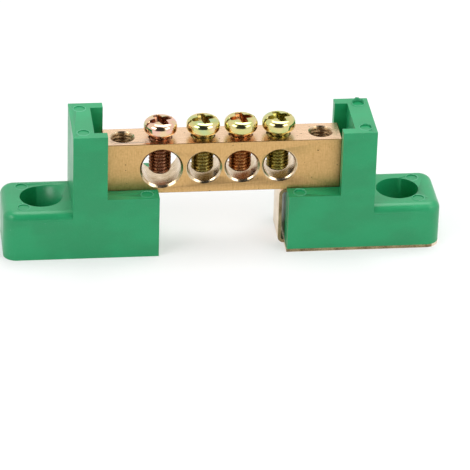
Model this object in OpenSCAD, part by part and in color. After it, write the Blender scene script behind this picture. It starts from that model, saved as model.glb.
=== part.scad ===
// Earth terminal bar: a brass bar bored for wires, held between two moulded brackets,
// with a sheet metal bonding strap wrapped round one of them.
//
// Units are millimetres. X runs along the bar, Y across it and Z up from the mounting
// surface. The origin lies on the mounting surface, below the middle of the bar, and the
// wires enter from -Y. The widest wire bore is at the -X end, the strap at the +X end.

/* [Bar] */
// Length of the brass bar
bar_len = 52.2; // [50:0.1:60]
// Depth of the bar, along its wire bores
bar_depth = 8; // [7:0.1:9]
// Height of the bar
bar_h = 12; // [11:0.1:14]
// Height of the bar's underside above the mounting surface
bar_z = 13.4; // [12:0.1:16]
// Distance from each end of the bar to the centre of its end hole
end_inset = 4.3; // [4:0.1:5]

/* [Wire bores] */
// Diameter of the first bore, for the thickest wire
big_bore_d = 8.6; // [7:0.1:9]
// Diameter of the other bores
bore_d = 7; // [5.5:0.1:7.2]
// Lead-in at the front mouth of each bore, at 45 degrees
bore_chamfer = 0.45; // [0.2:0.05:0.5]
// Distance from the first end hole to the first bore
first_pitch = 8.3; // [8:0.1:9]
// Distance from the first bore to the second
big_pitch = 9.35; // [9.2:0.05:10]
// Distance between the other bores
bore_pitch = 8.3; // [8.2:0.1:8.6]

/* [Threads] */
// Thread diameter of every screw and tapped hole
thread_d = 5; // [4:0.1:5]
// Radial gap between a thread and its hole
thread_gap = 0.05; // [0.02:0.01:0.1]
// Countersink at the mouth of each tapped hole
tap_chamfer = 0.25; // [0.1:0.05:0.4]

/* [Terminal screws] */
// Diameter of the head
head_d = 7.4; // [6:0.1:8]
// Height of the head
head_h = 3.3; // [2.8:0.1:4]
// Radius round the head's top edge
head_round = 1.3; // [0.8:0.1:1.5]
// Radius round the head's lower edge
head_under_round = 1; // [0.4:0.1:1.2]
// Radius of the crown across the top of the head
crown_r = 8; // [6:0.5:20]
// Height that the heads stand above the bar as set
head_lift = 0.9; // [0.6:0.1:2]
// Length of the shank below the head
shank_len = 9.3; // [8:0.1:10]
// Chamfer at the shank's tip
tip_chamfer = 0.6; // [0.2:0.1:1]
// Width of the slot across the head
slot_w = 0.9; // [0.6:0.1:1.2]
// Depth of the slot below the crown
slot_depth = 1; // [0.5:0.1:1.5]
// Span of the cross recess from arm tip to arm tip
cross_span = 5; // [3.6:0.1:5.2]
// Width of the cross recess's arms
cross_w = 1.4; // [0.9:0.1:1.6]
// Depth of the cross recess at its centre
cross_depth = 1.9; // [1.2:0.1:2.2]
// Turn of each screw's slot from the Y axis, in degrees
screw_turns = [-14, -8, -20, -18];

/* [Brackets] */
// Depth of each bracket, along Y
bracket_depth = 16.6; // [15:0.1:20]
// Length of the shelf that carries the bar's end
shelf_len = 11.4; // [10.5:0.1:14]
// Depth that the bar sits below the shelf's top
seat_depth = 1; // [0.4:0.1:1.5]
// Gap at each side of the bar in its seat
seat_gap = 0.2; // [0.05:0.05:0.5]
// Gap between the bar's end and the post behind it
end_gap = 2.3; // [1:0.1:3]
// Height of the post above the bar's underside
post_rise = 16.3; // [14:0.1:20]
// Thickness of the post's back wall, along X
web_t = 4.7; // [4:0.1:6]
// Thickness of the post's side arms, along Y
arm_t = 2.3; // [1.5:0.1:3]
// Reach of the side arms past the back wall
arm_reach = 2.8; // [1:0.1:4]
// Diameter of the ejector pin marks
pin_mark_d = 2.6; // [2:0.1:3]
// Depth of the ejector pin marks
pin_mark_depth = 0.15; // [0.1:0.05:0.3]

/* [Feet] */
// Length of the foot outside the post
foot_len = 15.1; // [14:0.1:18]
// Drop from the shelf's top to the foot's top
foot_drop = 3.1; // [2:0.1:5]
// Corner radius of the foot in plan
foot_corner = 3; // [2.5:0.1:5]
// Radius round the foot's top edges
foot_fillet = 2; // [0.5:0.1:2.4]
// Distance from the post to the centre of the mounting hole
foot_hole_x = 6.4; // [6:0.1:7]
// Diameter of the mounting hole's counterbore
foot_cbore_d = 9.4; // [8:0.1:10]
// Diameter of the mounting hole below its counterbore
foot_hole_d = 5.5; // [4:0.1:6.5]
// Thickness left under the counterbore, measured on the side without the strap
foot_floor = 4; // [3:0.1:6]

/* [Bar fixing screws] */
// Diameter of the fixing screws' heads
fixing_head_d = 8.5; // [8:0.1:9]
// Height of the fixing screws' heads
fixing_head_h = 3; // [2:0.1:3.5]
// Radial gap round a fixing screw's head in its pocket
fixing_head_gap = 0.5; // [0.3:0.1:0.8]
// Radial gap round a fixing screw's shank in the shelf
fixing_shank_gap = 0.25; // [0.1:0.05:0.4]
// Length of the fixing screws below the head
fixing_len = 8; // [7:0.5:10]
// Thickness of the shelf above the fixing screw's head
shelf_floor = 3; // [2:0.1:4]

/* [Strap] */
// Thickness of the strap's sheet
strap_t = 0.7; // [0.5:0.1:1]
// Inner radius of the strap's bends
bend_r = 0.7; // [0.5:0.1:1]
// Gap between the strap's riser and the bracket behind it
riser_gap = 0.9; // [0.3:0.1:1.5]
// Gap between the tip of the strap's tongue and the post's arms
tongue_gap = 0.3; // [0.1:0.1:1]

/* [Hidden] */
$fn = 64;
cut = 1; // overshoot of a cutting tool past the face that it cuts

thread_r = thread_d / 2;
shank_r = thread_r - thread_gap;
bar_top = bar_z + bar_h;
bore_z = bar_z + bar_h / 2;
end_hole_x = bar_len / 2 - end_inset;

first_bore_x = -end_hole_x + first_pitch;
second_bore_x = first_bore_x + big_pitch;
bore_xs = [first_bore_x, for (i = [0:2]) second_bore_x + i * bore_pitch];
bore_ds = [big_bore_d, bore_d, bore_d, bore_d];

web_x = bar_len / 2 + end_gap;
post_x = web_x + web_t;
arm_x = web_x - arm_reach;
shelf_x = arm_x - shelf_len;
foot_end_x = post_x + foot_len;
hole_x = post_x + foot_hole_x;

shelf_z = bar_z + seat_depth;
foot_z = shelf_z - foot_drop;
post_z = bar_z + post_rise;
seat_w = bar_depth + 2 * seat_gap;
slot_between_arms = bracket_depth - 2 * arm_t;

fixing_pocket_r = fixing_head_d / 2 + fixing_head_gap;
fixing_hole_r = thread_r + fixing_shank_gap;

pin_mark_y = bracket_depth / 2 - pin_mark_d;
foot_mark_x = hole_x + foot_cbore_d / 2 - pin_mark_d / 4;
foot_mark_y = foot_cbore_d / 2;
shelf_mark_x = shelf_x + pin_mark_d;
shelf_mark_y = (bracket_depth + seat_w) / 4;

// A hole of diameter d along Z from z1 up to z2, countersunk by c at its top
module hole_from_top(d, z1, z2, c) {
    translate([0, 0, z1]) cylinder(d = d, h = z2 - z1 + cut);
    translate([0, 0, z2 - c]) cylinder(d1 = d, d2 = d + 2 * (c + cut), h = c + cut);
}

// A wire bore of diameter d right through the bar along Y, chamfered where the wire enters
module wire_bore(d) {
    rotate([90, 0, 0]) {
        cylinder(d = d, h = bar_depth + 2 * cut, center = true);
        translate([0, 0, bar_depth / 2 - bore_chamfer])
            cylinder(d1 = d, d2 = d + 2 * (bore_chamfer + cut), h = bore_chamfer + cut);
    }
}

module brass_bar() {
    color("darkgoldenrod")
    difference() {
        translate([-bar_len / 2, -bar_depth / 2, bar_z]) cube([bar_len, bar_depth, bar_h]);
        for (i = [0:3]) {
            translate([bore_xs[i], 0, bore_z]) wire_bore(bore_ds[i]);
            translate([bore_xs[i], 0, 0]) hole_from_top(thread_d, bore_z, bar_top, tap_chamfer);
        }
        for (side = [-1, 1])
            translate([side * end_hole_x, 0, 0])
                hole_from_top(thread_d, bar_z - cut, bar_top, tap_chamfer);
    }
}

// Half section of a rounded screw head that stands on z = 0
module head_section(d, h, top_round, under_round) {
    r = d / 2;
    intersection() {
        union() {
            square([r - under_round, h]);
            translate([0, under_round]) square([r, h - under_round - top_round]);
            translate([r - under_round, under_round]) circle(under_round);
            translate([r - top_round, h - top_round]) circle(top_round);
        }
        square([r, h]);
        translate([0, h - crown_r]) circle(crown_r);
    }
}

// One arm pair of the cross recess along X, its ends sloping in towards the bottom
module cross_arms(z_top) {
    rotate([90, 0, 0])
        linear_extrude(cross_w, center = true)
            polygon([
                [-cross_span / 2, z_top], [-cross_w / 2, z_top - cross_depth],
                [cross_w / 2, z_top - cross_depth], [cross_span / 2, z_top],
                [cross_span / 2, z_top + cut], [-cross_span / 2, z_top + cut]
            ]);
}

// A clamp screw as set in the bar, its underside at z = 0
module terminal_screw(turn) {
    rotate([0, 0, turn])
    difference() {
        union() {
            rotate_extrude() head_section(head_d, head_h, head_round, head_under_round);
            translate([0, 0, tip_chamfer - shank_len])
                cylinder(r = shank_r, h = shank_len - tip_chamfer + cut);
            translate([0, 0, -shank_len])
                cylinder(r1 = shank_r - tip_chamfer, r2 = shank_r, h = tip_chamfer);
        }
        cross_arms(head_h);
        rotate([0, 0, 90]) cross_arms(head_h);
        translate([-slot_w / 2, -head_d / 2, head_h - slot_depth])
            cube([slot_w, head_d, slot_depth + cut]);
    }
}

module terminal_screw_in_bore(i) {
    color("khaki")
        translate([bore_xs[i], 0, bar_top + head_lift])
            terminal_screw(screw_turns[i]);
}

module terminal_screw_1() terminal_screw_in_bore(0);
module terminal_screw_2() terminal_screw_in_bore(1);
module terminal_screw_3() terminal_screw_in_bore(2);
module terminal_screw_4() terminal_screw_in_bore(3);

// A rectangle of width w and height h, both top corners rounded
module rounded_top(w, h) {
    r = foot_fillet;
    translate([-w / 2, 0]) square([w, h - r]);
    translate([r - w / 2, 0]) square([w - 2 * r, h]);
    for (side = [-1, 1])
        translate([side * (w / 2 - r), h - r]) circle(r);
}

// Quarter of the foot's rounded corner, centred on the corner's own axis
module foot_corner_block(h) {
    rotate_extrude(angle = 90)
        intersection() {
            union() {
                square([foot_corner, h - foot_fillet]);
                square([foot_corner - foot_fillet, h]);
                translate([foot_corner - foot_fillet, h - foot_fillet]) circle(foot_fillet);
            }
            square([foot_corner, h]);
        }
}

// The foot's slab, standing on z = 0, with its top edges and outer corners rounded
module foot_slab(h) {
    corner_x = foot_end_x - foot_corner;
    corner_y = bracket_depth / 2 - foot_corner;
    inner_x = web_x + web_t / 2;
    translate([inner_x, 0, 0])
        rotate([90, 0, 90])
            linear_extrude(corner_x - inner_x) rounded_top(bracket_depth, h);
    translate([post_x, corner_y, 0])
        rotate([90, 0, 0])
            linear_extrude(2 * corner_y)
                intersection() {
                    square([foot_len, h]);
                    translate([foot_len / 2, 0]) rounded_top(foot_len, h);
                }
    translate([corner_x, corner_y, 0]) foot_corner_block(h);
    translate([corner_x, -corner_y, 0]) mirror([0, 1, 0]) foot_corner_block(h);
}

// Plan outline shared by the bracket's base and the strap's plate, from x = start
module base_outline(start) {
    translate([start, -bracket_depth / 2])
        square([foot_end_x - foot_corner - start, bracket_depth]);
    translate([start, foot_corner - bracket_depth / 2])
        square([foot_end_x - start, bracket_depth - 2 * foot_corner]);
    for (side = [-1, 1])
        translate([foot_end_x - foot_corner, side * (bracket_depth / 2 - foot_corner)])
            circle(foot_corner);
}

// The shallow round marks that ejector pins leave, as cutters
module pin_marks(foot_top, shelf_top, post_top) {
    for (side = [-1, 1]) {
        for (at = [
            [web_x + web_t / 2, pin_mark_y, post_top],
            [foot_mark_x, foot_mark_y, foot_top],
            [shelf_mark_x, shelf_mark_y, shelf_top]
        ])
            translate([at.x, side * at.y, at.z - pin_mark_depth])
                cylinder(d = pin_mark_d, h = pin_mark_depth + cut);
    }
}

// The bracket for the bar's +X end. A strap of thickness t runs under its base and between
// its seat and the bar, so its base stands t higher and its top faces lie t lower.
module bracket(t) {
    shelf_top = shelf_z - t;
    foot_top = foot_z - t;
    post_top = post_z - t;
    seat_floor = bar_z - t;
    pocket_top = seat_floor - shelf_floor;
    difference() {
        union() {
            translate([shelf_x, -bracket_depth / 2, t])
                cube([post_x - shelf_x, bracket_depth, shelf_top - t]);
            translate([arm_x, -bracket_depth / 2, t])
                cube([post_x - arm_x, bracket_depth, post_top - t]);
            translate([0, 0, t]) foot_slab(foot_top - t);
        }
        translate([arm_x - cut, -slot_between_arms / 2, shelf_top])
            cube([arm_reach + cut, slot_between_arms, post_top - shelf_top + cut]);
        translate([shelf_x - cut, -seat_w / 2, seat_floor])
            cube([web_x - shelf_x + cut, seat_w, seat_depth + cut]);
        translate([hole_x, 0, foot_floor]) cylinder(d = foot_cbore_d, h = foot_top);
        translate([hole_x, 0, -cut]) cylinder(d = foot_hole_d, h = foot_top);
        translate([end_hole_x, 0, -cut]) cylinder(r = fixing_pocket_r, h = pocket_top + cut);
        translate([end_hole_x, 0, 0]) cylinder(r = fixing_hole_r, h = seat_floor + cut);
        pin_marks(foot_top, shelf_top, post_top);
    }
}

module left_bracket() {
    color("seagreen") mirror([1, 0, 0]) bracket(0);
}

module right_bracket() {
    color("seagreen") bracket(strap_t);
}

// A fixing screw driven up through the shelf of a bracket whose strap is t thick
module fixing_screw(t) {
    head_top = bar_z - t - shelf_floor;
    translate([end_hole_x, 0, head_top - fixing_head_h])
        difference() {
            cylinder(d = fixing_head_d, h = fixing_head_h);
            translate([-fixing_head_d / 2, -slot_w / 2, -cut])
                cube([fixing_head_d, slot_w, slot_depth + cut]);
        }
    translate([end_hole_x, 0, head_top - cut / 2])
        cylinder(r = shank_r, h = fixing_len + cut / 2);
}

module left_fixing_screw() {
    color("silver") mirror([1, 0, 0]) fixing_screw(0);
}

module right_fixing_screw() {
    color("silver") fixing_screw(strap_t);
}

// A block in plan x, y from x = left to x = right and from y = low to y = high, with both of
// its left corners rounded to radius r
module rounded_left(left, right, low, high, r) {
    translate([left + r, low]) square([right - left - r, high - low]);
    translate([left, low + r]) square([right - left, high - low - 2 * r]);
    for (y = [low + r, high - r]) translate([left + r, y]) circle(r);
}

// Side view of the strip that runs in from the plate, up the riser and back as a tongue
module strip_section(tongue_end_x) {
    riser_x = shelf_x - riser_gap - strap_t;
    difference() {
        rounded_left(riser_x, tongue_end_x, 0, bar_z, bend_r + strap_t);
        rounded_left(riser_x + strap_t, tongue_end_x + cut, strap_t, bar_z - strap_t, bend_r);
    }
}

module earth_strap() {
    color("wheat")
    difference() {
        union() {
            linear_extrude(strap_t) base_outline(shelf_x - riser_gap + bend_r);
            rotate([90, 0, 0])
                linear_extrude(bar_depth, center = true) strip_section(arm_x - tongue_gap);
        }
        translate([hole_x, 0, -cut]) cylinder(d = foot_hole_d, h = strap_t + 2 * cut);
        translate([end_hole_x, 0, -cut]) cylinder(r = fixing_pocket_r, h = strap_t + 2 * cut);
        translate([end_hole_x, 0, bar_z - strap_t - cut])
            cylinder(r = fixing_hole_r, h = strap_t + 2 * cut);
    }
}

brass_bar();
terminal_screw_1();
terminal_screw_2();
terminal_screw_3();
terminal_screw_4();
left_bracket();
right_bracket();
left_fixing_screw();
right_fixing_screw();
earth_strap();
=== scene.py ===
"""Dress the packed earth terminal bar: threads, moulding marks, finishes, studio and camera.

Lengths in this file are millimetres until a mesh or an object is made from them. The axes are
the part's own: X along the bar, wires from -Y, Z up from the mounting surface.
"""
import logging
import math
from dataclasses import dataclass, field
from enum import Enum
from typing import Sequence

import bmesh
import bpy
import numpy as np
from mathutils import Matrix, Vector


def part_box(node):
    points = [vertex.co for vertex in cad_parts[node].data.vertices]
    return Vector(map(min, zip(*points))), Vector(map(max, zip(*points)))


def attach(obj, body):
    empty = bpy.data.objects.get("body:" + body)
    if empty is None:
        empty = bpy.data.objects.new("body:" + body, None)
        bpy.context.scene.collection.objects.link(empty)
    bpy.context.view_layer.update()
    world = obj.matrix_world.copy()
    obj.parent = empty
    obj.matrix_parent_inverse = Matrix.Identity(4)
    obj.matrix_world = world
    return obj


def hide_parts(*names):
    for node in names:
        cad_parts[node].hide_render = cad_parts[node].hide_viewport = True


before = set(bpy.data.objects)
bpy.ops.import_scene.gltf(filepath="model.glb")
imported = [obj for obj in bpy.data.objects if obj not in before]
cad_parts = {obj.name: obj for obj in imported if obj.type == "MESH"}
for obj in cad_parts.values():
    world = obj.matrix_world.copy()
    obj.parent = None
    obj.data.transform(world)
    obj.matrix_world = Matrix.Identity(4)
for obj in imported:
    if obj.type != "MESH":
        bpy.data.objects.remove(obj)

METRE = 1000.0
LOG = logging.getLogger("earth_terminal_bar")

# Degrees of turn above which an edge of a thread or a recess shades sharp.
THREAD_SHARP = 40.0
# Metres within which the CAD mesh's loose corners are joined.
WELD = 2e-6
# Degrees of turn below which two of the CAD mesh's faces count as one flat face.
FLAT_TURN = 0.4

Triple = tuple[float, float, float]
Colour = Triple
Span = tuple[float, float]
Stops = Sequence[tuple[float, Colour]]


class Section(Enum):
    """The regions of a screw that its finish tells apart, as values of its tone attribute."""

    HEAD = 0.0
    SHANK = 0.5
    RECESS = 1.0


class Side(Enum):
    """Which end of the bar a piece belongs to, as the sign of its x."""

    LEFT = -1
    RIGHT = 1


# ---------------------------------------------------------------------------
# Shader helpers
# ---------------------------------------------------------------------------

class Graph:
    """A material's node tree, with short calls for the nodes that the finishes share."""

    def __init__(self, name: str) -> None:
        """Start a material with a Principled shader.

        Args:
            name: The material's name.
        """
        self.material = bpy.data.materials.new(name)
        self.material.use_nodes = True
        self.tree = self.material.node_tree
        self.shader = self.tree.nodes["Principled BSDF"]
        coordinates = self.tree.nodes.new("ShaderNodeTexCoord")
        self.place = coordinates.outputs["Object"]
        self.normal = coordinates.outputs["Normal"]

    def set(self, socket: str, value: object) -> None:
        """Give the shader's socket a constant or a link.

        Args:
            socket: The socket's name on the Principled shader.
            value: A number, a colour or another node's output.
        """
        self.feed(self.shader.inputs[socket], value)

    def feed(self, target: bpy.types.NodeSocket, value: object) -> None:
        """Link a socket to an output, or set its constant.

        Args:
            target: The input socket.
            value: A number, a colour or another node's output.
        """
        if isinstance(value, bpy.types.NodeSocket):
            self.tree.links.new(value, target)
        elif target.type == "RGBA" and len(value) == 3:
            target.default_value = (*value, 1.0)
        else:
            target.default_value = value

    def noise(self, size: float, stretch: Triple = (1.0, 1.0, 1.0), detail: float = 2.0,
              shift: Triple = (0.0, 0.0, 0.0)) -> bpy.types.NodeSocket:
        """Noise on object coordinates.

        Args:
            size: Width of one blob in millimetres.
            stretch: How many times longer the blobs are along each axis.
            detail: Number of finer octaves.
            shift: Offset of the pattern in metres.

        Returns:
            The noise's value, from 0 to 1.
        """
        mapping = self.tree.nodes.new("ShaderNodeMapping")
        mapping.inputs["Scale"].default_value = tuple(1.0 / s for s in stretch)
        mapping.inputs["Location"].default_value = shift
        self.tree.links.new(self.place, mapping.inputs["Vector"])
        noise = self.tree.nodes.new("ShaderNodeTexNoise")
        noise.inputs["Scale"].default_value = METRE / size
        noise.inputs["Detail"].default_value = detail
        self.tree.links.new(mapping.outputs["Vector"], noise.inputs["Vector"])
        return noise.outputs["Fac"]

    def ramp(self, value: bpy.types.NodeSocket, stops: Stops) -> bpy.types.NodeSocket:
        """Turn a value into a colour.

        Args:
            value: The output that drives the ramp.
            stops: Places from 0 to 1 with their colours.

        Returns:
            The ramp's colour.
        """
        node = self.tree.nodes.new("ShaderNodeValToRGB")
        elements = node.color_ramp.elements
        while len(elements) < len(stops):
            elements.new(1.0)
        for element, (at, colour) in zip(elements, stops):
            element.position = at
            element.color = (*colour, 1.0)
        self.tree.links.new(value, node.inputs["Fac"])
        return node.outputs["Color"]

    def between(self, value: bpy.types.NodeSocket, low: float, high: float, out_low: float = 0.0,
                out_high: float = 1.0) -> bpy.types.NodeSocket:
        """Map a range of a value smoothly onto another, held at its ends.

        Args:
            value: The output to map.
            low: The value that gives out_low.
            high: The value that gives out_high.
            out_low: Result at and below low.
            out_high: Result at and above high.

        Returns:
            The mapped value.
        """
        node = self.tree.nodes.new("ShaderNodeMapRange")
        node.interpolation_type = "SMOOTHSTEP"
        self.tree.links.new(value, node.inputs["Value"])
        for name, number in (("From Min", low), ("From Max", high),
                             ("To Min", out_low), ("To Max", out_high)):
            node.inputs[name].default_value = number
        return node.outputs["Result"]

    def math(self, operation: str, a: object, b: object = 0.0) -> bpy.types.NodeSocket:
        """Combine two values.

        Args:
            operation: The Math node's operation.
            a: A number or an output.
            b: A number or an output.

        Returns:
            The result.
        """
        node = self.tree.nodes.new("ShaderNodeMath")
        node.operation = operation
        self.feed(node.inputs[0], a)
        self.feed(node.inputs[1], b)
        return node.outputs["Value"]

    def mix(self, factor: object, a: object, b: object, blend: str = "MIX") -> bpy.types.NodeSocket:
        """Mix two colours.

        Args:
            factor: Share of the second colour.
            a: First colour or output.
            b: Second colour or output.
            blend: The blend mode.

        Returns:
            The mixed colour.
        """
        node = self.tree.nodes.new("ShaderNodeMix")
        node.data_type = "RGBA"
        node.blend_type = blend
        self.feed(node.inputs["Factor"], factor)
        self.feed(node.inputs[6], a)
        self.feed(node.inputs[7], b)
        return node.outputs[2]

    def axis(self, vector: bpy.types.NodeSocket, name: str) -> bpy.types.NodeSocket:
        """Return one component, "X", "Y" or "Z", of a vector output."""
        node = self.tree.nodes.new("ShaderNodeSeparateXYZ")
        self.tree.links.new(vector, node.inputs["Vector"])
        return node.outputs[name]

    def attribute(self, name: str) -> bpy.types.NodeSocket:
        """Return a mesh attribute's value."""
        node = self.tree.nodes.new("ShaderNodeAttribute")
        node.attribute_name = name
        return node.outputs["Fac"]

    def bump(self, layers: Sequence[tuple[bpy.types.NodeSocket, float]]) -> None:
        """Stack bumps on the shader's normal.

        Args:
            layers: Height outputs, each with its depth in millimetres.
        """
        normal = None
        for height, depth in layers:
            node = self.tree.nodes.new("ShaderNodeBump")
            node.inputs["Distance"].default_value = depth / METRE
            self.tree.links.new(height, node.inputs["Height"])
            if normal is not None:
                self.tree.links.new(normal, node.inputs["Normal"])
            normal = node.outputs["Normal"]
        self.tree.links.new(normal, self.shader.inputs["Normal"])


# ---------------------------------------------------------------------------
# Finishes
# ---------------------------------------------------------------------------

@dataclass(frozen=True)
class MouldedPlastic:
    """Green moulding: even pigment with faint flow clouds, pale dust specks and soft gloss."""

    pigment: Colour = (0.011, 0.350, 0.130)
    deep: Colour = (0.009, 0.300, 0.108)
    speck: Colour = (0.16, 0.52, 0.33)
    cloud_size: float = 7.0
    speck_size: float = 0.32
    sink_size: float = 9.0
    grain_size: float = 0.25
    roughness: Span = (0.30, 0.42)
    cloud_stretch: Triple = (1.6, 1.0, 1.0)
    speck_range: Span = (0.76, 0.80)
    speck_show: float = 0.8
    grain_show: float = 0.07
    sink_depth: float = 0.12
    grain_depth: float = 0.003
    speck_depth: float = 0.008

    def material(self, name: str) -> bpy.types.Material:
        """Build the moulding's material under a name."""
        g = Graph(name)
        clouds = g.noise(self.cloud_size, stretch=self.cloud_stretch, detail=3.0)
        grain = g.noise(self.grain_size, detail=3.0)
        specks = g.between(g.noise(self.speck_size, detail=1.0), *self.speck_range)
        tone = g.between(clouds, 0.36, 0.66)
        pigment = g.mix(tone, self.deep, self.pigment)
        mottled = g.mix(g.between(grain, 0.40, 0.75, 0.0, self.grain_show), pigment, self.speck)
        g.set("Base Color", g.mix(g.math("MULTIPLY", specks, self.speck_show), mottled, self.speck))
        g.set("Roughness", g.between(clouds, 0.3, 0.7, *self.roughness))
        g.bump([(g.noise(self.sink_size, detail=1.0), self.sink_depth),
                (grain, self.grain_depth), (specks, self.speck_depth)])
        return g.material


@dataclass(frozen=True)
class MilledBrass:
    """Milled brass faces: tan front and back with upright cutter lines, pinker drawn top."""

    side: Colour = (0.72, 0.46, 0.20)
    side_dark: Colour = (0.58, 0.35, 0.13)
    top: Colour = (0.88, 0.62, 0.41)
    top_dark: Colour = (0.80, 0.54, 0.34)
    spot: Colour = (0.13, 0.08, 0.03)
    line_size: float = 0.16
    line_length: float = 14.0
    spot_size: float = 0.7
    side_roughness: float = 0.46
    top_roughness: float = 0.27
    line_share: float = 0.55
    line_depth: float = 0.012
    mottle_size: float = 0.5
    mottle_share: float = 0.45
    mottle_depth: float = 0.01
    spot_range: Span = (0.71, 0.76)
    spot_shift: Triple = (0.013, 0.0, 0.007)

    def material(self, name: str) -> bpy.types.Material:
        """Build the milled faces' material under a name."""
        g = Graph(name)
        up = g.between(g.math("ABSOLUTE", g.axis(g.normal, "Z")), 0.5, 0.8)
        upright = g.noise(self.line_size, stretch=(1.0, 1.0, self.line_length), detail=3.0)
        drawn = g.noise(self.line_size, stretch=(self.line_length, 1.0, 1.0), detail=3.0)
        mottle = g.noise(self.mottle_size, detail=4.0)
        side_tone = g.math("ADD", g.math("MULTIPLY", upright, self.line_share),
                           g.math("MULTIPLY", mottle, self.mottle_share))
        side = g.ramp(side_tone, [(0.36, self.side_dark), (0.60, self.side)])
        top = g.ramp(drawn, [(0.35, self.top_dark), (0.60, self.top)])
        scatter = g.noise(self.spot_size, detail=2.0, shift=self.spot_shift)
        spots = g.between(scatter, *self.spot_range)
        faces = g.mix(up, side, top)
        g.set("Base Color", g.mix(spots, faces, self.spot))
        g.set("Metallic", 1.0)
        g.set("Roughness", g.between(up, 0.0, 1.0, self.side_roughness, self.top_roughness))
        g.bump([(g.mix(up, upright, drawn), self.line_depth), (mottle, self.mottle_depth)])
        return g.material


@dataclass(frozen=True)
class PlainMetal:
    """Bare or plated metal with tooling lines along one direction."""

    light: Colour
    dark: Colour
    roughness: float
    line_size: float = 0.2
    line_stretch: Triple = (1.0, 1.0, 1.0)
    line_depth: float = 0.006
    line_share: float = 0.6
    cloud_size: float = 3.0
    cloud_share: float = 0.4
    rough_spread: float = 0.08

    def material(self, name: str) -> bpy.types.Material:
        """Build the metal's material under a name."""
        g = Graph(name)
        lines = g.noise(self.line_size, stretch=self.line_stretch, detail=3.0)
        clouds = g.noise(self.cloud_size, detail=2.0)
        tone = g.math("ADD", g.math("MULTIPLY", lines, self.line_share),
                      g.math("MULTIPLY", clouds, self.cloud_share))
        g.set("Base Color", g.ramp(tone, [(0.36, self.dark), (0.62, self.light)]))
        g.set("Metallic", 1.0)
        g.set("Roughness", g.between(lines, 0.3, 0.7, self.roughness,
                                     self.roughness + self.rough_spread))
        g.bump([(lines, self.line_depth)])
        return g.material


@dataclass(frozen=True)
class PassivatedZinc:
    """Yellow passivated zinc: film colours that drift over the head, with painted shade in the recess and
    on the shank.
    """

    film: Stops
    # Dark brown painted shade for the cross recess.
    recess: Colour
    # Shank colours, darker than the head's film: painted shade on the shank, which sits under the head and
    # in the bores.
    shank: Colour
    shank_dark: Colour
    roughness: float = 0.10
    drift_size: float = 4.2
    streak_size: float = 0.35
    streak_depth: float = 0.004
    streak_rough: float = 0.06
    shank_rough: float = 0.14
    dent_size: float = 1.1
    dent_depth: float = 0.03

    def material(self, name: str) -> bpy.types.Material:
        """Build one screw's material under a name."""
        g = Graph(name)
        tone = g.attribute("tone")
        drift = g.noise(self.drift_size, detail=1.5)
        film = g.ramp(g.between(drift, 0.30, 0.70), self.film)
        streaks = g.noise(self.streak_size, detail=3.0)
        # The shank's and the recess's dark colours are painted shade.
        shank = g.mix(g.between(streaks, 0.35, 0.7), self.shank_dark, self.shank)
        recess = g.mix(g.between(streaks, 0.3, 0.7), self.recess, self.shank)
        bare = g.mix(g.between(tone, 0.2, 0.45), film, shank)
        g.set("Base Color", g.mix(g.between(tone, 0.55, 0.9), bare, recess))
        g.set("Metallic", 1.0)
        rough = g.between(tone, 0.1, 0.5, self.roughness, self.roughness + self.shank_rough)
        streaky = g.between(streaks, 0.4, 0.8, 0.0, self.streak_rough)
        g.set("Roughness", g.math("ADD", rough, streaky))
        g.bump([(g.noise(self.dent_size, detail=2.0), self.dent_depth), (streaks, self.streak_depth)])
        return g.material


PALE_GOLD: Colour = (0.72, 0.61, 0.26)
LIME: Colour = (0.57, 0.60, 0.24)
SEA_GREEN: Colour = (0.42, 0.58, 0.36)
ROSE: Colour = (0.82, 0.50, 0.40)
SAND: Colour = (0.78, 0.60, 0.35)

# Each finish gives film stops, then painted shade colours: recess, shank and the shank's darker streaks.
SCREW_FINISHES = (
    PassivatedZinc(((0.0, SEA_GREEN), (0.35, SAND), (0.7, ROSE), (1.0, SAND)),
                   (0.20, 0.075, 0.05), (0.40, 0.20, 0.11), (0.20, 0.08, 0.045)),
    PassivatedZinc(((0.0, SEA_GREEN), (0.4, LIME), (0.75, PALE_GOLD), (1.0, SAND)),
                   (0.26, 0.13, 0.03), (0.40, 0.34, 0.11), (0.20, 0.15, 0.04)),
    PassivatedZinc(((0.0, LIME), (0.4, PALE_GOLD), (0.8, SAND), (1.0, ROSE)),
                   (0.34, 0.11, 0.03), (0.50, 0.26, 0.09), (0.26, 0.09, 0.035)),
    PassivatedZinc(((0.0, SEA_GREEN), (0.45, LIME), (0.85, PALE_GOLD), (1.0, LIME)),
                   (0.22, 0.17, 0.02), (0.40, 0.36, 0.10), (0.20, 0.16, 0.04)),
)
# Turn of each clamp screw's slot from the bar's own direction, in degrees.
SCREW_TURNS = (24.0, 16.0, 14.0, 18.0)
BORED_BRASS = PlainMetal((0.84, 0.67, 0.47), (0.44, 0.31, 0.16), 0.16,
                         line_size=0.12, line_stretch=(9.0, 1.0, 9.0), line_depth=0.012)
# Dark brass for the threads in the end holes: the darkness is painted shade inside the holes.
SHADED_TAPPED_BRASS = PlainMetal((0.50, 0.33, 0.18), (0.21, 0.12, 0.05), 0.26)
# Dark brown for the bar's rounded edges: a painted dark reflection and shade, not the brass's own colour.
PAINTED_EDGE_REFLECTION = PlainMetal((0.20, 0.12, 0.05), (0.09, 0.05, 0.02), 0.42)
BRIGHT_ZINC = PlainMetal((0.74, 0.75, 0.77), (0.50, 0.51, 0.53), 0.24)
STRAP_SHEET = PlainMetal((0.90, 0.78, 0.62), (0.74, 0.58, 0.42), 0.30,
                         line_size=0.3, line_stretch=(1.0, 12.0, 12.0), line_depth=0.005)
STRAP_EDGE = PlainMetal((0.46, 0.36, 0.20), (0.16, 0.11, 0.05), 0.35)
GREEN_PLASTIC = MouldedPlastic()
PALE_FLASH = MouldedPlastic(pigment=(0.10, 0.46, 0.25), deep=(0.05, 0.38, 0.18))


# ---------------------------------------------------------------------------
# Mesh helpers
# ---------------------------------------------------------------------------

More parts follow.
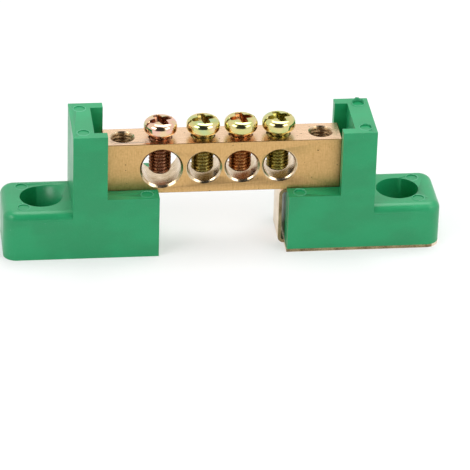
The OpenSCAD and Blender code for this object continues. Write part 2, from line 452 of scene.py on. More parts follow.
def grid_faces(rows: int, columns: int, close_rows: bool = False) -> np.ndarray:
    """Quads of a grid whose columns run round and join up.

    Face (i, j) takes points (i, j), (i, j + 1), (i + 1, j + 1) and (i + 1, j), with j taken
    modulo the columns and, on a torus, i modulo the rows.

    Args:
        rows: Number of rings.
        columns: Points in each ring.
        close_rows: Whether the last ring joins the first.

    Returns:
        Point numbers, four to a face.
    """
    i, j = np.meshgrid(np.arange(rows if close_rows else rows - 1), np.arange(columns), indexing="ij")
    i, j = i.ravel(), j.ravel()
    i_next, j_next = (i + 1) % rows, (j + 1) % columns
    return np.stack([i * columns + j, i * columns + j_next,
                     i_next * columns + j_next, i_next * columns + j], axis=1)


def pole_faces(ring_start: int, columns: int, pole: int, upward: bool) -> np.ndarray:
    """Triangles from a ring to its pole.

    Args:
        ring_start: Number of the ring's first point.
        columns: Points in the ring.
        pole: Number of the pole's point.
        upward: Whether the faces look along +Z.

    Returns:
        Point numbers, three to a face.
    """
    j = np.arange(columns)
    a, b = ring_start + j, ring_start + (j + 1) % columns
    ends = (a, b) if upward else (b, a)
    return np.stack([*ends, np.full(columns, pole)], axis=1)


def mesh_object(name: str, points: np.ndarray, faces: Sequence[np.ndarray],
                tone: np.ndarray | None = None) -> bpy.types.Object:
    """Make an object from points in millimetres.

    Args:
        name: The piece's name.
        points: Coordinates, one row to a point.
        faces: Arrays of point numbers, each with one face to a row.
        tone: Value of the tone attribute at each point.

    Returns:
        The new object, linked to the scene.
    """
    mesh = bpy.data.meshes.new(name)
    mesh.from_pydata((points / METRE).tolist(), [], [f for block in faces for f in block.tolist()])
    if tone is not None:
        layer = mesh.attributes.new("tone", "FLOAT", "POINT")
        layer.data.foreach_set("value", tone.astype(np.float32))
    mesh.validate()
    piece = bpy.data.objects.new(name, mesh)
    bpy.context.scene.collection.objects.link(piece)
    return piece


def smooth(piece: bpy.types.Object, angle: float) -> None:
    """Shade a piece smooth, apart from edges that turn by more than an angle.

    Args:
        piece: The piece.
        angle: The angle in degrees.
    """
    piece.data.shade_smooth()
    piece.data.set_sharp_from_angle(angle=math.radians(angle))


def step(low: float, high: float, value: np.ndarray) -> np.ndarray:
    """Smooth step: 0 up to low, 1 from high on, and 3t^2 - 2t^3 of the share t between."""
    t = np.clip((value - low) / (high - low), 0.0, 1.0)
    return t * t * (3.0 - 2.0 * t)


def dress(piece: bpy.types.Object, *materials: bpy.types.Material) -> None:
    """Replace a piece's materials.

    Args:
        piece: The piece.
        materials: The materials, in the order of the faces' material numbers.
    """
    piece.data.materials.clear()
    for material in materials:
        piece.data.materials.append(material)


def low_high(node: str) -> tuple[np.ndarray, np.ndarray]:
    """Return a CAD node's lowest and highest corners in millimetres."""
    low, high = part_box(node)
    return np.array(low) * METRE, np.array(high) * METRE


# ---------------------------------------------------------------------------
# Threads and screws
# ---------------------------------------------------------------------------

@dataclass(frozen=True)
class Thread:
    """A right-hand V thread with small flats at its crests and roots."""

    pitch: float = 0.8
    crest_r: float = 2.45
    depth: float = 0.4
    flat: float = 0.12

    def radius(self, z: np.ndarray, angle: np.ndarray) -> np.ndarray:
        """Radius of the thread at a height and an angle.

        The share of a pitch is the fraction of z / pitch - angle / (2 pi). The radius rises
        in a straight line from root to crest over half a pitch and falls back over the other
        half, cut off by a flat at each end.

        Args:
            z: Heights in millimetres.
            angle: Angles round the axis in radians.

        Returns:
            Radii in millimetres.
        """
        share = np.mod(z / self.pitch - angle / (2.0 * math.pi), 1.0)
        wedge = 1.0 - np.abs(2.0 * share - 1.0)
        rise = np.clip((wedge - self.flat) / (1.0 - 2.0 * self.flat), 0.0, 1.0)
        return self.crest_r - self.depth * (1.0 - rise)


@dataclass
class TerminalScrew:
    """A clamp screw: threaded shank, rounded head, and a cross recess with a slot through it."""

    number: int
    turn: float
    finish: PassivatedZinc
    thread: Thread = field(default_factory=Thread)
    head_h: float = 3.3
    under_reach: float = 1.6
    under_rise: float = 1.25
    shoulder_round: float = 1.4
    crown_drop: float = 0.12
    tip_chamfer: float = 0.6
    cross_span: float = 5.0
    cross_w: float = 1.65
    cross_depth: float = 1.9
    slot_w: float = 0.5
    slot_depth: float = 0.4
    neck_r: float = 2.2
    neck_h: float = 0.95
    wall: float = 0.12
    tip_narrowing: float = 0.3
    floor_power: float = 0.55
    crown_start: Span = (1.3, 1.7)
    recess_tone: Span = (0.1, 0.5)
    shank_overlap: float = 0.1
    crown_gap: float = 0.03
    pole_gap: float = 0.02
    shank_rings: int = 176
    under_rings: int = 16
    shoulder_rings: int = 24
    crown_rings: int = 84
    columns: int = 240

    @property
    def node(self) -> str:
        """Name of the CAD node that the screw replaces."""
        return f"terminal_screw_{self.number}"

    def arm(self, along: np.ndarray, across: np.ndarray) -> np.ndarray:
        """Depth of one arm of the cross.

        The floor falls from the arm's tip to the middle as a power of the way in, between
        walls that are smooth steps across its width. The width shrinks as the fourth power
        of the way out.

        Args:
            along: Distance along the arm in millimetres.
            across: Distance across the arm in millimetres.

        Returns:
            Depths in millimetres.
        """
        half, core = self.cross_span / 2.0, self.cross_w / 2.0
        way_in = np.clip((half - np.abs(along)) / (half - core), 0.0, 1.0)
        width = core * (1.0 - self.tip_narrowing * (np.abs(along) / half) ** 4)
        sides = 1.0 - step(-self.wall / 2.0, self.wall / 2.0, np.abs(across) - width)
        return self.cross_depth * np.power(way_in, self.floor_power) * sides

    def recess(self, x: np.ndarray, y: np.ndarray) -> np.ndarray:
        """Depth of the recess below the crown.

        The depth is the greatest of three: the cross's two arms and the slot, a shallow
        groove that runs to the rim.

        Args:
            x: Distance along the slot in millimetres.
            y: Distance across the slot in millimetres.

        Returns:
            Depths in millimetres.
        """
        slot_sides = 1.0 - step(-self.wall / 2.0, self.wall / 2.0, np.abs(y) - self.slot_w / 2.0)
        return np.maximum(np.maximum(self.arm(x, y), self.arm(y, x)), self.slot_depth * slot_sides)

    def head_outline(self, radius: float) -> np.ndarray:
        """Outline of the head from its underside, round its side and over the crown.

        Points follow a quarter ellipse under the rim, a quarter circle at the shoulder and a
        shallow dome in to the axis, whose height falls as the square of the radius.

        Args:
            radius: The head's greatest radius.

        Returns:
            Pairs of radius and height above the head's underside.
        """
        flat_r = radius - self.shoulder_round
        centre_z = self.head_h - self.crown_drop - self.shoulder_round
        turn = np.linspace(-np.pi / 2, 0, self.under_rings)
        under = np.stack([radius - self.under_reach * (1 - np.cos(turn)),
                          self.under_rise * (1 + np.sin(turn))], axis=1)
        lean = math.atan(2.0 * self.crown_drop / flat_r)
        turn = np.linspace(0, np.pi / 2 - lean, self.shoulder_rings)
        shoulder = np.stack([flat_r + self.shoulder_round * np.cos(turn),
                             centre_z + self.shoulder_round * np.sin(turn)], axis=1)
        r = np.linspace(shoulder[-1, 0] - self.crown_gap, self.pole_gap, self.crown_rings)
        z = self.head_h - (self.head_h - shoulder[-1, 1]) * (r / shoulder[-1, 0]) ** 2
        return np.concatenate([under, shoulder, np.stack([r, z], axis=1)])

    def build(self) -> bpy.types.Object:
        """Build the screw as one closed surface round its axis.

        Rings climb from the tip's pole over the chamfer and the thread to the head's outline
        and the pole at its middle. A ring point's radius is the thread's where the ring is on
        the shank, held in to the neck below the head. On the crown a point's height falls by
        the recess's depth.

        Returns:
            The screw, riding on its body.
        """
        low, high = low_high(self.node)
        axis_x = (low[0] + high[0]) / 2.0
        head_z = high[2] - self.head_h
        angle = np.arange(self.columns) * 2.0 * math.pi / self.columns

        shank_z = np.linspace(low[2], head_z + self.shank_overlap, self.shank_rings)[:, None]
        reach = self.thread.crest_r - self.tip_chamfer + (shank_z - low[2])
        shank_r = np.minimum(self.thread.radius(shank_z, angle[None]), reach)
        shank_r = np.where(shank_z > head_z - self.neck_h, np.minimum(shank_r, self.neck_r), shank_r)
        head = self.head_outline((high[0] - low[0]) / 2.0)
        head_r = np.repeat(head[:, :1], self.columns, axis=1)
        head_height = np.repeat(head[:, 1:] + head_z, self.columns, axis=1)
        turned = angle[None] - math.radians(self.turn)
        depth = self.recess(head_r * np.cos(turned), head_r * np.sin(turned))
        crown_low, crown_high = self.crown_start
        depth = depth * step(head_z + crown_low, head_z + crown_high, head_height)

        r = np.concatenate([shank_r, head_r])
        z = np.concatenate([np.repeat(shank_z, self.columns, axis=1), head_height - depth])
        ring = np.stack([axis_x + r * np.cos(angle), r * np.sin(angle), z], axis=-1)
        head_tone = (Section.HEAD.value
                     + step(*self.recess_tone, depth) * (Section.RECESS.value - Section.HEAD.value))
        tone = np.concatenate([np.full(shank_r.shape, Section.SHANK.value), head_tone])
        poles = np.array([[axis_x, 0.0, low[2]], [axis_x, 0.0, z[-1].mean()]])
        rows = len(r)
        points = np.concatenate([ring.reshape(-1, 3), poles])
        faces = [grid_faces(rows, self.columns),
                 pole_faces(0, self.columns, rows * self.columns, upward=False),
                 pole_faces((rows - 1) * self.columns, self.columns, rows * self.columns + 1, upward=True)]
        tones = np.concatenate([tone.ravel(), [Section.SHANK.value, Section.RECESS.value]])
        piece = mesh_object(f"clamp_screw_{self.number}", points, faces, tones)
        smooth(piece, THREAD_SHARP)
        dress(piece, self.finish.material(f"passivated_zinc_{self.number}"))
        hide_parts(self.node)
        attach(piece, f"clamp_screw_{self.number}")
        return piece


@dataclass
class FixingScrew:
    """A screw driven up through a bracket's shelf into the bar: slotted head, threaded shank."""

    side: Side
    thread: Thread = field(default_factory=Thread)
    head_h: float = 3.0
    edge_round: float = 0.5
    tip_chamfer: float = 0.5
    slot_w: float = 0.9
    slot_depth: float = 1.0
    wall: float = 0.12
    top_chamfer: float = 0.15
    pole_gap: float = 0.02
    face_rings: int = 60
    edge_rings: int = 9
    shank_rings: int = 150
    columns: int = 128

    @property
    def node(self) -> str:
        """Name of the CAD node that the screw replaces."""
        return f"{self.side.name.lower()}_fixing_screw"

    def build(self) -> bpy.types.Object:
        """Build the screw as one closed surface round its axis.

        Rings run from the pole under the head, out over its slotted face, round its eased
        edges, in to the thread and up to the pole at the tip. Ring points under the head are
        raised by the slot's depth, a smooth step across the slot's width.

        Returns:
            The screw, riding on the base.
        """
        low, high = low_high(self.node)
        axis_x = (low[0] + high[0]) / 2.0
        head_r = (high[0] - low[0]) / 2.0
        angle = np.arange(self.columns) * 2.0 * math.pi / self.columns
        face_r = np.linspace(self.pole_gap, head_r - self.edge_round, self.face_rings)
        turn = np.linspace(0, np.pi / 2, self.edge_rings)
        lower = np.stack([head_r - self.edge_round * (1 - np.sin(turn)),
                          low[2] + self.edge_round * (1 - np.cos(turn))], axis=1)
        upper = np.array([[head_r, low[2] + self.head_h - self.top_chamfer],
                          [head_r - self.top_chamfer, low[2] + self.head_h]])
        face = np.stack([face_r, np.full(self.face_rings, low[2])], axis=1)
        outline = np.concatenate([face, lower[1:], upper])
        shank_z = np.linspace(low[2] + self.head_h, high[2], self.shank_rings)[:, None]
        reach = self.thread.crest_r - self.tip_chamfer + (high[2] - shank_z)
        shank_r = np.minimum(self.thread.radius(shank_z, angle[None]), reach)

        r = np.concatenate([np.repeat(outline[:, :1], self.columns, axis=1), shank_r])
        z = np.concatenate([np.repeat(outline[:, 1:], self.columns, axis=1),
                            np.repeat(shank_z, self.columns, axis=1)])
        across = np.abs(r * np.sin(angle))
        slot = self.slot_depth * (1.0 - step(-self.wall / 2, self.wall / 2, across - self.slot_w / 2))
        z = np.where(z < low[2] + self.slot_depth, np.maximum(z, low[2] + slot), z)
        ring = np.stack([axis_x + r * np.cos(angle), r * np.sin(angle), z], axis=-1)
        rows = len(r)
        poles = np.array([[axis_x, 0.0, low[2] + self.slot_depth], [axis_x, 0.0, high[2]]])
        points = np.concatenate([ring.reshape(-1, 3), poles])
        faces = [grid_faces(rows, self.columns),
                 pole_faces(0, self.columns, rows * self.columns, upward=False),
                 pole_faces((rows - 1) * self.columns, self.columns, rows * self.columns + 1, upward=True)]
        piece = mesh_object(f"{self.node}_threaded", points, faces)
        smooth(piece, THREAD_SHARP)
        dress(piece, BRIGHT_ZINC.material(f"{self.node}_zinc"))
        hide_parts(self.node)
        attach(piece, "base")
        return piece


@dataclass
class TappedThread:
    """The thread cut in one of the bar's end holes, as a sleeve lining the plain hole."""

    side: Side
    hole_r: float = 2.5
    chamfer_r: float = 2.75
    clearance: float = 0.05
    margin: float = 0.27
    foot_gap: float = 0.02
    backing: float = 0.03
    rings: int = 200
    columns: int = 128
    thread: Thread = field(default_factory=Thread)

    def build(self) -> bpy.types.Object:
        """Build the sleeve: the thread's own surface inside, a plain wall outside.

        Inner points lie at the thread's radius plus the clearance, or on the countersink's
        cone where that is wider. Outer points lie just inside the metal. The two walls join
        at both ends, so that the sleeve is a closed ring.

        Returns:
            The sleeve, riding on the base.
        """
        bar_low, bar_high = low_high("brass_bar")
        screw_low, screw_high = low_high(f"{self.side.name.lower()}_fixing_screw")
        axis_x = (screw_low[0] + screw_high[0]) / 2.0
        angle = np.arange(self.columns) * 2.0 * math.pi / self.columns
        z = np.linspace(bar_low[2] + self.foot_gap, bar_high[2] - self.margin, self.rings)[:, None]
        cone = self.chamfer_r - (bar_high[2] - z)
        inner = np.maximum(self.thread.radius(z, angle[None]) + self.clearance, cone)
        inner = np.minimum(inner, self.hole_r)
        outer = np.full_like(inner, self.hole_r + self.backing)
        r = np.concatenate([inner, outer[::-1]])
        heights = np.concatenate([np.repeat(z, self.columns, axis=1),
                                  np.repeat(z[::-1], self.columns, axis=1)])
        ring = np.stack([axis_x + r * np.cos(angle), r * np.sin(angle), heights], axis=-1)
        faces = grid_faces(len(r), self.columns, close_rows=True)[:, ::-1]
        piece = mesh_object(f"{self.side.name.lower()}_tapped_thread", ring.reshape(-1, 3), [faces])
        smooth(piece, THREAD_SHARP)
        # The sleeve's dark brass is painted shade inside the hole.
        dress(piece, SHADED_TAPPED_BRASS.material(f"{self.side.name.lower()}_shaded_tapped_brass"))
        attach(piece, "base")
        return piece


# ---------------------------------------------------------------------------
# Pieces copied from the frame, with eased edges
# ---------------------------------------------------------------------------

@dataclass
class EasedCopy:
    """A copy of a CAD node whose long outer edges are rounded over."""

    node: str
    radius: float
    segments: int = 3
    shortest: float = 1.5
    sharp_angle: float = 50.0
    smooth_angle: float = 30.0

    def merged(self, name: str) -> bpy.types.Object:
        """Copy the node's mesh, merge its loose triangles and join flat ones.

        Args:
            name: The new piece's name.

        Returns:
            The copy, linked to the scene.
        """
        mesh = bpy.data.meshes.new(name)
        work = bmesh.new()
        work.from_mesh(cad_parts[self.node].data)
        bmesh.ops.remove_doubles(work, verts=work.verts, dist=WELD)
        bmesh.ops.dissolve_limit(work, angle_limit=math.radians(FLAT_TURN),
                                 verts=work.verts, edges=work.edges)
        work.to_mesh(mesh)
        work.free()
        piece = bpy.data.objects.new(name, mesh)
        bpy.context.scene.collection.objects.link(piece)
        return piece

    def weigh(self, piece: bpy.types.Object, weights: "EdgeWeights") -> None:
        """Write each edge's share of the rounding radius.

        Only convex edges that turn by more than the sharp angle and are at least the shortest
        length long get a share.

        Args:
            piece: The merged copy.
            weights: Says the share of each chosen edge from its two ends.
        """
        work = bmesh.new()
        work.from_mesh(piece.data)
        limit = math.radians(self.sharp_angle)
        chosen = [e.is_manifold and e.is_convex and e.calc_face_angle(0.0) > limit
                  and e.calc_length() * METRE > self.shortest for e in work.edges]
        ends = np.array([[v.co[:] for v in e.verts] for e in work.edges]) * METRE
        work.free()
        layer = piece.data.attributes.new("bevel_weight_edge", "FLOAT", "EDGE")
        layer.data.foreach_set("value", (np.array(chosen) * weights.share(ends)).astype(np.float32))

    def ease(self, piece: bpy.types.Object, edge_material: int = -1) -> None:
        """Round the weighted edges with a Bevel modifier.

        Args:
            piece: The weighted copy.
            edge_material: Number of the material that the rounded edges take, or -1.
        """
        bevel = piece.modifiers.new("eased_edges", "BEVEL")
        bevel.limit_method = "WEIGHT"
        bevel.width = self.radius / METRE
        bevel.segments = self.segments
        bevel.harden_normals = True
        bevel.material = edge_material
        bevel.use_clamp_overlap = True
        smooth(piece, self.smooth_angle)


class EdgeWeights:
    """Gives every chosen edge the whole radius."""

    def share(self, ends: np.ndarray) -> np.ndarray:
        """Return the share of the rounding radius for each edge's pair of ends."""
        return np.ones(len(ends))


@dataclass
class BracketEdges(EdgeWeights):
    """Full rounding at the top of the post, less on every other edge."""

    post_top: float
    other: float = 0.45
    tolerance: float = 0.01

    def share(self, ends: np.ndarray) -> np.ndarray:
        """Return 1 for edges that lie in the post's top face, and the lesser share elsewhere."""
        on_top = (np.abs(ends[..., 2] - self.post_top) < self.tolerance).all(axis=1)
        return np.where(on_top, 1.0, self.other)


@dataclass
class Bar:
    """The brass bar: milled faces, bright bores and rounded edges with a painted dark reflection and shade.
    """

    edge_round: float = 0.22
    edge_segments: int = 2
    shortest_edge: float = 4.0
    face_gap: float = 0.02
    square: float = 0.999

    def bore_faces(self, piece: bpy.types.Object) -> np.ndarray:
        """Find the faces inside the bores and tapped holes.

        A face belongs to the outside if its middle lies on the bar's box and it is square to
        an axis. All others belong to the bores.

        Args:
            piece: The merged copy of the bar.

        Returns:
            A mask over the faces.
        """
        low, high = low_high("brass_bar")
        count = len(piece.data.polygons)
        centre, normal = np.empty(count * 3, np.float32), np.empty(count * 3, np.float32)
        piece.data.polygons.foreach_get("center", centre)
        piece.data.polygons.foreach_get("normal", normal)
        centre, normal = centre.reshape(-1, 3) * METRE, np.abs(normal.reshape(-1, 3))
        gap = np.minimum(np.abs(centre - low), np.abs(centre - high))
        return ~((gap < self.face_gap) & (normal > self.square)).any(axis=1)

    def build(self) -> list[bpy.types.Object]:
        """Build the bar and the threads in its end holes.

        Returns:
            The pieces made.
        """
        copy = EasedCopy("brass_bar", radius=self.edge_round, segments=self.edge_segments,
                         shortest=self.shortest_edge)
        piece = copy.merged("bar")
        dress(piece, MilledBrass().material("milled_brass"), BORED_BRASS.material("bored_brass"),
              PAINTED_EDGE_REFLECTION.material("painted_edge_reflection"))
        numbers = self.bore_faces(piece).astype(np.int32)
        piece.data.polygons.foreach_set("material_index", numbers)
        copy.weigh(piece, EdgeWeights())
        # Material 2 on the rounded edges is the painted dark reflection and shade.
        copy.ease(piece, edge_material=2)
        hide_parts("brass_bar")
        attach(piece, "base")
        return [piece] + [TappedThread(side).build() for side in Side]


@dataclass
class FlashRing:
    """The rim of plastic that an ejector pin leaves round its mark, higher on one side."""

    x: float
    y: float
    z: float
    height: float
    facing: float
    radius: float = 1.36
    width: float = 0.13
    spread: float = 1.6
    lowest_share: float = 0.12
    narrowing: float = 0.3
    sunk: float = 0.08
    ripples: Span = (0.18, 0.1)
    smooth_angle: float = 60.0
    columns: int = 48
    section_points: int = 12

    def build(self, name: str, material: bpy.types.Material) -> bpy.types.Object:
        """Build the rim as a flattened ring.

        At angle a round the mark and b round the section, a point lies at radius
        radius + width cos b and height h(a) sin b, where h falls off as a power of the cosine
        of half the angle from the highest side and ripples with the sines of 5a and 11a. The
        lower half of the section is sunk a little into the moulding.

        Args:
            name: The piece's name.
            material: Its material.

        Returns:
            The rim, riding on the base.
        """
        a = np.linspace(0, 2 * np.pi, self.columns, endpoint=False)[:, None]
        b = np.linspace(0, 2 * np.pi, self.section_points, endpoint=False)[None]
        fall = np.abs(np.cos((a - math.radians(self.facing)) / 2.0)) ** (2.0 * self.spread)
        slow, quick = self.ripples
        wobble = 1.0 + slow * np.sin(5.0 * a + self.x) + quick * np.sin(11.0 * a + self.y)
        rise = self.height * (self.lowest_share + (1.0 - self.lowest_share) * fall) * wobble
        r = self.radius + self.width * np.cos(b) * (1.0 - self.narrowing * fall)
        z = np.where(np.sin(b) > 0, rise * np.sin(b), self.sunk * np.sin(b))
        z = np.broadcast_to(z, r.shape)
        ring = np.stack([self.x + r * np.cos(a), self.y + r * np.sin(a), self.z + z], axis=-1)
        faces = grid_faces(self.columns, self.section_points, close_rows=True)[:, ::-1]
        piece = mesh_object(name, ring.reshape(-1, 3), [faces])
        smooth(piece, self.smooth_angle)
        dress(piece, material)
        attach(piece, "base")
        return piece


@dataclass
class Bracket:
    """One of the two green mouldings, with eased edges and ejector flash."""

    side: Side
    post_mark: Span = (30.75, 5.7)
    foot_mark: Span = (43.55, 4.7)
    shelf_mark: Span = (16.8, 6.25)
    foot_drop: float = 3.1
    foot_top: float = 11.3
    strap_step: float = 0.7
    edge_round: float = 0.6

    def flash(self) -> list[bpy.types.Object]:
        """Build the flash round the moulding's pin marks.

        Returns:
            The rims, highest on the side with the strap.
        """
        name = self.side.name.lower()
        high = low_high(f"{name}_bracket")[1]
        right = self.side is Side.RIGHT
        foot_z = self.foot_top - (self.strap_step if right else 0.0)
        plans = (
            ("post_front", self.post_mark[0], -self.post_mark[1], high[2], 0.30 if right else 0.05, 60.0),
            ("post_back", self.post_mark[0], self.post_mark[1], high[2], 0.80 if right else 0.05, 90.0),
            ("foot_front", self.foot_mark[0], -self.foot_mark[1], foot_z, 0.12, 200.0),
            ("foot_back", self.foot_mark[0], self.foot_mark[1], foot_z, 0.12, 120.0),
            ("shelf_front", self.shelf_mark[0], -self.shelf_mark[1], foot_z + self.foot_drop,
             0.30 if right else 0.15, 90.0),
        )
        plastic = PALE_FLASH.material(f"{name}_flash_plastic")
        return [FlashRing(self.side.value * x, y, z, height, facing).build(f"{name}_{place}_flash", plastic)
                for place, x, y, z, height, facing in plans]

    def build(self) -> list[bpy.types.Object]:
        """Build the moulding and its flash.

        Returns:
            The pieces made.
        """
        node = f"{self.side.name.lower()}_bracket"
        high = low_high(node)[1]
        copy = EasedCopy(node, radius=self.edge_round)
        piece = copy.merged(f"{node}_moulding")
        copy.weigh(piece, BracketEdges(post_top=high[2]))
        copy.ease(piece)
        dress(piece, GREEN_PLASTIC.material(f"{node}_plastic"))
        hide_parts(node)
        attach(piece, "base")
        return [piece] + self.flash()


@dataclass
class Strap:
    """The sheet metal strap: pale rolled faces and darker sheared edges."""

    edge_round: float = 0.1
    edge_segments: int = 2
    shortest_edge: float = 1.0
    edge_on: float = 0.9

    def build(self) -> bpy.types.Object:
        """Build the strap.

        Returns:
            The strap, riding on the base.
        """
        copy = EasedCopy("earth_strap", radius=self.edge_round, segments=self.edge_segments,
                         shortest=self.shortest_edge)
        piece = copy.merged("strap")
        copy.weigh(piece, EdgeWeights())
        copy.ease(piece)
        count = len(piece.data.polygons)
        normal = np.empty(count * 3, np.float32)
        piece.data.polygons.foreach_get("normal", normal)
        sheared = np.abs(normal.reshape(-1, 3)[:, 1]) > self.edge_on
        dress(piece, STRAP_SHEET.material("strap_sheet"), STRAP_EDGE.material("strap_edge"))
        piece.data.polygons.foreach_set("material_index", sheared.astype(np.int32))
        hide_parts("earth_strap")
        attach(piece, "base")
        return piece


# ---------------------------------------------------------------------------
# Studio
# ---------------------------------------------------------------------------

@dataclass(frozen=True)
class SoftBox:
    """A soft rectangular lamp."""

    name: str
    azimuth: float
    elevation: float
    size: Span
    power: float
    distance: float = 620.0

    def build(self, target: Vector) -> None:
        """Place the lamp round the target and aim it there.

        Args:
            target: The point that it shines on, in millimetres.
        """
        a, e = math.radians(self.azimuth), math.radians(self.elevation)
        away = Vector((math.sin(a) * math.cos(e), -math.cos(a) * math.cos(e), math.sin(e)))
        lamp = bpy.data.lights.new(self.name, "AREA")
        lamp.shape = "RECTANGLE"
        lamp.size, lamp.size_y = self.size[0] / METRE, self.size[1] / METRE
        lamp.energy = self.power
        item = bpy.data.objects.new(self.name, lamp)
        item.location = (target + away * self.distance) / METRE
        item.rotation_euler = away.to_track_quat("Z", "Y").to_euler()
        bpy.context.scene.collection.objects.link(item)


class Sky:
    """The world's node tree, with short calls for the nodes that shape its light."""

    def __init__(self, name: str) -> None:
        """Start a world and make it the scene's own.

        Args:
            name: The world's name.
        """
        world = bpy.data.worlds.new(name)
        bpy.context.scene.world = world
        world.use_nodes = True
        self.tree = world.node_tree
        self.direction = self.tree.nodes.new("ShaderNodeTexCoord").outputs["Generated"]

    def share(self, axis: Triple, span: Span, two_sided: bool = False) -> bpy.types.NodeSocket:
        """Smooth step of how far a ray points along an axis.

        Args:
            axis: The unit axis.
            span: Cosines that give 0 and 1.
            two_sided: Whether the opposite direction counts alike.

        Returns:
            The share, from 0 to 1.
        """
        dot = self.tree.nodes.new("ShaderNodeVectorMath")
        dot.operation = "DOT_PRODUCT"
        dot.inputs[1].default_value = axis
        self.tree.links.new(self.direction, dot.inputs[0])
        size = self.tree.nodes.new("ShaderNodeMath")
        size.operation = "ABSOLUTE" if two_sided else "ADD"
        size.inputs[1].default_value = 0.0
        self.tree.links.new(dot.outputs["Value"], size.inputs[0])
        ease = self.tree.nodes.new("ShaderNodeMapRange")
        ease.interpolation_type = "SMOOTHSTEP"
        ease.inputs["From Min"].default_value, ease.inputs["From Max"].default_value = span
        self.tree.links.new(size.outputs["Value"], ease.inputs["Value"])
        return ease.outputs["Result"]

    def product(self, a: bpy.types.NodeSocket, b: bpy.types.NodeSocket) -> bpy.types.NodeSocket:
        """Return the product of two outputs."""
        node = self.tree.nodes.new("ShaderNodeMath")
        node.operation = "MULTIPLY"
        self.tree.links.new(a, node.inputs[0])
        self.tree.links.new(b, node.inputs[1])
        return node.outputs["Value"]

    def mix(self, factor: bpy.types.NodeSocket, low: object, high: object) -> bpy.types.NodeSocket:
        """Mix two strengths.

        Args:
            factor: Share of the second strength.
            low: First number or output.
            high: Second number or output.

        Returns:
            The mixed strength.
        """
        node = self.tree.nodes.new("ShaderNodeMix")
        self.tree.links.new(factor, node.inputs["Factor"])
        for target, value in ((node.inputs[2], low), (node.inputs[3], high)):
            if isinstance(value, float):
                target.default_value = value
            else:
                self.tree.links.new(value, target)
        return node.outputs[0]


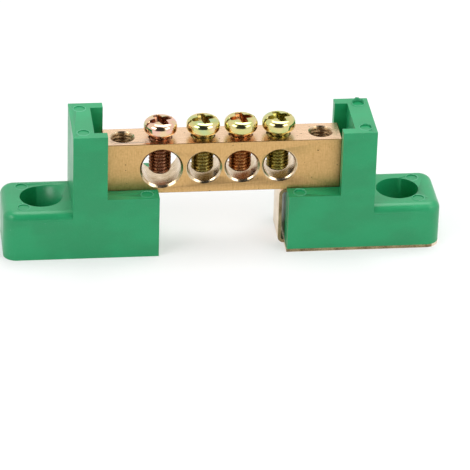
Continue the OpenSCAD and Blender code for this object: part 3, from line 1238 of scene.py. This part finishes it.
@dataclass
class Studio:
    """Plain pale floor, soft lamps, even surroundings and the camera."""

    yaw: float = 7.49
    pitch: float = 29.24
    roll: float = 1.80
    target: Triple = (3.6, 0.0, 0.0)
    distance: float = 762.8
    lens: float = 263.1
    floor_reach: float = 3000.0
    surround: float = 0.33
    horizon: float = 1.3
    floor_colour: float = 0.6
    floor_glow: float = 0.4
    band_light: float = 0.04
    band_across: Span = (0.62, 0.42)
    band_forward: Span = (0.0, 0.3)
    band_upward: Span = (0.0, 0.12)
    low_sky: Span = (0.45, 0.15)
    sensor: float = 36.0
    floor_rings: int = 11
    floor_columns: int = 96
    lamp_target: Triple = (0.0, 0.0, 12.0)
    lamps: tuple[SoftBox, ...] = (
        SoftBox("left_softbox", -60.0, 42.0, (320.0, 260.0), 1.0),
        SoftBox("right_softbox", 50.0, 40.0, (300.0, 260.0), 0.85),
        SoftBox("overhead_softbox", 150.0, 72.0, (500.0, 400.0), 2.2),
    )

    def camera(self) -> None:
        """Place the camera: yaw about Z, pitch down and roll about the line of sight."""
        yaw, pitch, roll = (math.radians(v) for v in (self.yaw, self.pitch, self.roll))
        ahead = Vector((math.sin(yaw) * math.cos(pitch), math.cos(yaw) * math.cos(pitch), -math.sin(pitch)))
        level = Vector((math.cos(yaw), -math.sin(yaw), 0.0))
        upright = level.cross(ahead)
        right = level * math.cos(roll) + upright * math.sin(roll)
        up = upright * math.cos(roll) - level * math.sin(roll)
        lens = bpy.data.cameras.new("camera")
        lens.lens = self.lens
        lens.sensor_width = self.sensor
        item = bpy.data.objects.new("camera", lens)
        place = (Vector(self.target) - ahead * self.distance) / METRE
        item.matrix_world = Matrix((right, up, -ahead)).transposed().to_4x4()
        item.location = place
        bpy.context.scene.collection.objects.link(item)
        bpy.context.scene.camera = item

    def floor(self) -> None:
        """Lay the floor, a flat disc that is pale to every ray and white to the lens.

        The rings' radii grow as the square of their number.
        """
        rows, columns = self.floor_rings, self.floor_columns
        turn = np.arange(columns) * 2.0 * math.pi / columns
        radius = np.linspace(0.0, 1.0, rows + 1)[1:, None] ** 2 * self.floor_reach
        ring = np.stack([radius * np.cos(turn), radius * np.sin(turn), np.zeros((rows, columns))], axis=-1)
        points = np.concatenate([ring.reshape(-1, 3), [[0.0, 0.0, 0.0]]])
        faces = [grid_faces(rows, columns)[:, ::-1], pole_faces(0, columns, rows * columns, upward=True)]
        piece = mesh_object("floor", points, faces)
        g = Graph("pale_floor")
        g.set("Base Color", (self.floor_colour,) * 3)
        g.set("Roughness", 0.9)
        g.set("Specular IOR Level", 0.1)
        g.set("Emission Color", (1.0, 1.0, 1.0))
        path = g.tree.nodes.new("ShaderNodeLightPath")
        seen = g.math("MAXIMUM", path.outputs["Is Camera Ray"], path.outputs["Is Glossy Ray"])
        g.set("Emission Strength", g.math("MULTIPLY", seen, self.floor_glow))
        dress(piece, g.material)

    def world(self) -> None:
        """Make the surroundings: even light, brighter low down, and a dark band to the front.

        Glossy rays see white, apart from an upright band round the camera. The band's share
        is the product of three smooth steps: across, forward and up. The lens sees white.
        """
        sky = Sky("studio")
        yaw = math.radians(self.yaw)
        across = sky.share((math.cos(yaw), -math.sin(yaw), 0.0), self.band_across, two_sided=True)
        forward = sky.share((-math.sin(yaw), -math.cos(yaw), 0.0), self.band_forward)
        upward = sky.share((0.0, 0.0, 1.0), self.band_upward)
        band = sky.product(sky.product(across, forward), upward)
        low_down = sky.share((0.0, 0.0, 1.0), self.low_sky)
        path = sky.tree.nodes.new("ShaderNodeLightPath")
        even = sky.mix(low_down, self.surround, self.horizon)
        glossy = sky.mix(path.outputs["Is Glossy Ray"], even, sky.mix(band, 1.0, self.band_light))
        through = sky.mix(path.outputs["Is Transmission Ray"], glossy, 1.0)
        strength = sky.mix(path.outputs["Is Camera Ray"], through, 1.0)
        background = sky.tree.nodes["Background"]
        background.inputs["Color"].default_value = (1.0, 1.0, 1.0, 1.0)
        sky.tree.links.new(strength, background.inputs["Strength"])

    def build(self) -> None:
        """Set up the camera, floor, surroundings and lamps."""
        bpy.context.scene.view_settings.view_transform = "Standard"
        self.camera()
        self.floor()
        self.world()
        for lamp in self.lamps:
            lamp.build(Vector(self.lamp_target))


def main() -> None:
    """Build the sub-assemblies in order and report each piece."""
    logging.basicConfig(level=logging.INFO, format="%(name)s: %(message)s")
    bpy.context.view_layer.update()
    Studio().build()
    pieces = Bar().build()
    pieces += [TerminalScrew(i + 1, turn, finish).build()
               for i, (turn, finish) in enumerate(zip(SCREW_TURNS, SCREW_FINISHES))]
    for side in Side:
        pieces += Bracket(side).build()
        pieces.append(FixingScrew(side).build())
    pieces.append(Strap().build())
    for piece in pieces:
        LOG.info("%s: %d faces", piece.name, len(piece.data.polygons))


if __name__ == "__main__":
    main()
